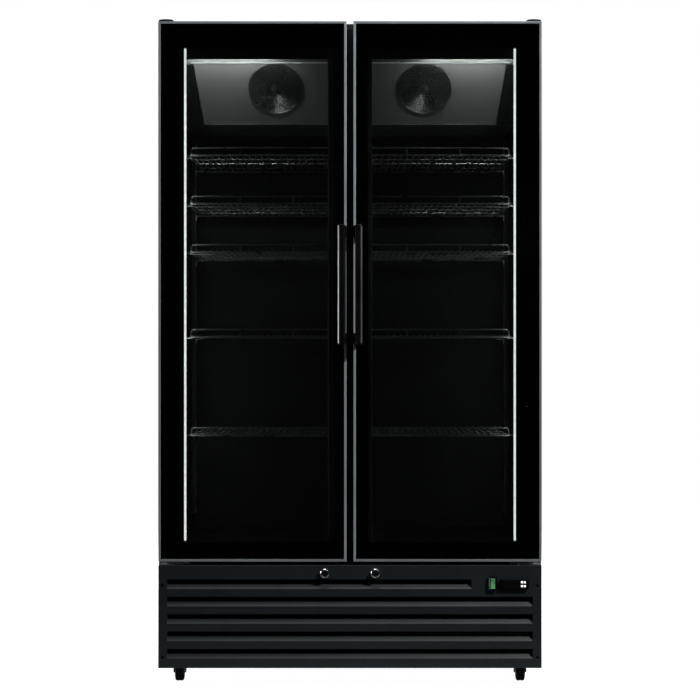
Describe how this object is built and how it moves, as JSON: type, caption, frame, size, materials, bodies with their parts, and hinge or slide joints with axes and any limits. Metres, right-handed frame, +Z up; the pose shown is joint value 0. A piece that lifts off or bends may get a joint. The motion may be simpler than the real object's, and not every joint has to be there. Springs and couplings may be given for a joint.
{
  "type": "glass door merchandiser",
  "caption": "Upright display refrigerator on casters with paired hinged glass doors, lit wire shelves and a louvred machine compartment below.",
  "frame": {"origin": "on the floor, under the middle of the object's box", "axes": "+Z up, -Y towards someone who opens the doors, +X to that person's right"},
  "size_m": [1.16, 0.72, 2.019],
  "materials": {
    "black_steel": "satin black powder coat",
    "charcoal_steel": "satin charcoal powder coat",
    "grey_steel": "galvanised",
    "evaporator_cover_steel": "satin grey coat",
    "foam": null,
    "liner_plastic": "fine-grained black plastic",
    "coil_aluminium": "mill finish",
    "black_enamel": "semi-gloss black",
    "handle_coat": "semi-gloss black",
    "black_plastic": "moulded, fine texture",
    "shelf_wire": "black plastic-coated steel wire",
    "led_diffuser": "opal diffuser, lit",
    "edge_trim": "grey satin anodised",
    "door_glass": "clear double glazing with a black printed border",
    "gasket_rubber": "matte black",
    "caster_rubber": "matte black tread",
    "zinc": "bright zinc plate",
    "lock_chrome": "polished",
    "button_plastic": "white",
    "rocker_plastic": "green, translucent, lit from inside"
  },
  "bodies": {
    "cabinet": {"left_side_panel": "black_steel", "right_side_panel": "black_steel", "top_panel": "black_steel", "center_mullion": "black_steel", "floor_deck": "black_steel", "front_grille": "charcoal_steel", "rear_panel": "grey_steel", "base_tray": "grey_steel", "electrical_box": "grey_steel", "evaporator_fan_bracket": "grey_steel", "evaporator_cover": "evaporator_cover_steel", "foam_insulation": "foam", "inner_liner": "liner_plastic", "condenser_coil": "coil_aluminium", "evaporator_coil": "coil_aluminium", "compressor": "black_enamel", "condenser_fan_shroud": "black_enamel", "controller_housing": "black_plastic", "left_top_hinge": "black_plastic", "right_top_hinge": "black_plastic", "shelf_left_1": "shelf_wire", "shelf_left_2": "shelf_wire", "shelf_left_3": "shelf_wire", "shelf_left_4": "shelf_wire", "shelf_left_5": "shelf_wire", "shelf_right_1": "shelf_wire", "shelf_right_2": "shelf_wire", "shelf_right_3": "shelf_wire", "shelf_right_4": "shelf_wire", "shelf_right_5": "shelf_wire", "led_light_bar_left": "led_diffuser", "led_light_bar_right": "led_diffuser", "left_bottom_hinge": "zinc", "right_bottom_hinge": "zinc"},
    "left_door": {"left_door_frame": "edge_trim", "left_door_glass": "door_glass", "left_door_gasket": "gasket_rubber", "left_door_handle": "handle_coat"},
    "left_lock": {"left_lock": "lock_chrome"},
    "evaporator_fan_left": {"evaporator_fan_left": "black_plastic"},
    "right_door": {"right_door_frame": "edge_trim", "right_door_glass": "door_glass", "right_door_gasket": "gasket_rubber", "right_door_handle": "handle_coat"},
    "right_lock": {"right_lock": "lock_chrome"},
    "evaporator_fan_right": {"evaporator_fan_right": "black_plastic"},
    "condenser_fan": {"condenser_fan": "coil_aluminium"},
    "light_switch": {"light_switch": "rocker_plastic"},
    "controller_button_1": {"controller_button_1": "button_plastic"},
    "controller_button_2": {"controller_button_2": "button_plastic"},
    "controller_button_3": {"controller_button_3": "button_plastic"},
    "controller_button_4": {"controller_button_4": "button_plastic"},
    "front_left_caster_fork": {"front_left_caster_fork": "black_enamel"},
    "front_left_caster_wheel": {"front_left_caster_wheel": "caster_rubber"},
    "front_right_caster_fork": {"front_right_caster_fork": "black_enamel"},
    "front_right_caster_wheel": {"front_right_caster_wheel": "caster_rubber"},
    "rear_left_caster_fork": {"rear_left_caster_fork": "black_enamel"},
    "rear_left_caster_wheel": {"rear_left_caster_wheel": "caster_rubber"},
    "rear_right_caster_fork": {"rear_right_caster_fork": "black_enamel"},
    "rear_right_caster_wheel": {"rear_right_caster_wheel": "caster_rubber"}
  },
  "joints": [
    {"name": "left_door_hinge", "type": "hinge", "parent": "cabinet", "child": "left_door", "pos_m": [-0.56, -0.295, 0.378], "axis": [0, 0, -1], "range_deg": [0, 110], "stiffness_Nm_per_rad": 1.2, "springref_deg": -57.3},
    {"name": "right_door_hinge", "type": "hinge", "parent": "cabinet", "child": "right_door", "pos_m": [0.56, -0.295, 0.378], "axis": [0, 0, 1], "range_deg": [0, 110], "stiffness_Nm_per_rad": 1.2, "springref_deg": -57.3},
    {"name": "left_lock_turn", "type": "hinge", "parent": "cabinet", "child": "left_lock", "pos_m": [-0.0765, -0.315, 0.343], "axis": [0, 1, 0], "range_deg": [0, 90]},
    {"name": "right_lock_turn", "type": "hinge", "parent": "cabinet", "child": "right_lock", "pos_m": [0.0765, -0.315, 0.343], "axis": [0, -1, 0], "range_deg": [0, 90]},
    {"name": "condenser_fan_spin", "type": "hinge", "parent": "cabinet", "child": "condenser_fan", "pos_m": [0, -0.1347, 0.1993], "axis": [0, 1, 0], "continuous": true},
    {"name": "evaporator_fan_left_spin", "type": "hinge", "parent": "cabinet", "child": "evaporator_fan_left", "pos_m": [-0.236, -0.03573, 1.86375], "axis": [0, -0.8192, -0.5736], "continuous": true},
    {"name": "evaporator_fan_right_spin", "type": "hinge", "parent": "cabinet", "child": "evaporator_fan_right", "pos_m": [0.236, -0.03573, 1.86375], "axis": [0, -0.8192, -0.5736], "continuous": true},
    {"name": "front_left_caster_swivel", "type": "hinge", "parent": "cabinet", "child": "front_left_caster_fork", "pos_m": [-0.524, -0.24, 0.089], "axis": [0, 0, 1], "continuous": true},
    {"name": "front_left_caster_roll", "type": "hinge", "parent": "front_left_caster_fork", "child": "front_left_caster_wheel", "pos_m": [-0.524, -0.218, 0.0315], "axis": [1, 0, 0], "continuous": true},
    {"name": "front_right_caster_swivel", "type": "hinge", "parent": "cabinet", "child": "front_right_caster_fork", "pos_m": [0.524, -0.24, 0.089], "axis": [0, 0, 1], "continuous": true},
    {"name": "front_right_caster_roll", "type": "hinge", "parent": "front_right_caster_fork", "child": "front_right_caster_wheel", "pos_m": [0.524, -0.218, 0.0315], "axis": [1, 0, 0], "continuous": true},
    {"name": "rear_left_caster_swivel", "type": "hinge", "parent": "cabinet", "child": "rear_left_caster_fork", "pos_m": [-0.524, 0.3, 0.089], "axis": [0, 0, 1], "continuous": true},
    {"name": "rear_left_caster_roll", "type": "hinge", "parent": "rear_left_caster_fork", "child": "rear_left_caster_wheel", "pos_m": [-0.524, 0.322, 0.0315], "axis": [1, 0, 0], "continuous": true},
    {"name": "rear_right_caster_swivel", "type": "hinge", "parent": "cabinet", "child": "rear_right_caster_fork", "pos_m": [0.524, 0.3, 0.089], "axis": [0, 0, 1], "continuous": true},
    {"name": "rear_right_caster_roll", "type": "hinge", "parent": "rear_right_caster_fork", "child": "rear_right_caster_wheel", "pos_m": [0.524, 0.322, 0.0315], "axis": [1, 0, 0], "continuous": true},
    {"name": "controller_button_1_press", "type": "slide", "parent": "cabinet", "child": "controller_button_1", "axis": [0, 1, 0], "range_m": [0, 0.001], "stiffness_N_per_m": 800, "springref_m": -0.0005},
    {"name": "controller_button_2_press", "type": "slide", "parent": "cabinet", "child": "controller_button_2", "axis": [0, 1, 0], "range_m": [0, 0.001], "stiffness_N_per_m": 800, "springref_m": -0.0005},
    {"name": "controller_button_3_press", "type": "slide", "parent": "cabinet", "child": "controller_button_3", "axis": [0, 1, 0], "range_m": [0, 0.001], "stiffness_N_per_m": 800, "springref_m": -0.0005},
    {"name": "controller_button_4_press", "type": "slide", "parent": "cabinet", "child": "controller_button_4", "axis": [0, 1, 0], "range_m": [0, 0.001], "stiffness_N_per_m": 800, "springref_m": -0.0005},
    {"name": "light_switch_rock", "type": "hinge", "parent": "cabinet", "child": "light_switch", "pos_m": [0.4314, -0.313, 0.3128], "axis": [1, 0, 0], "range_deg": [-6, 6]}
  ]
}
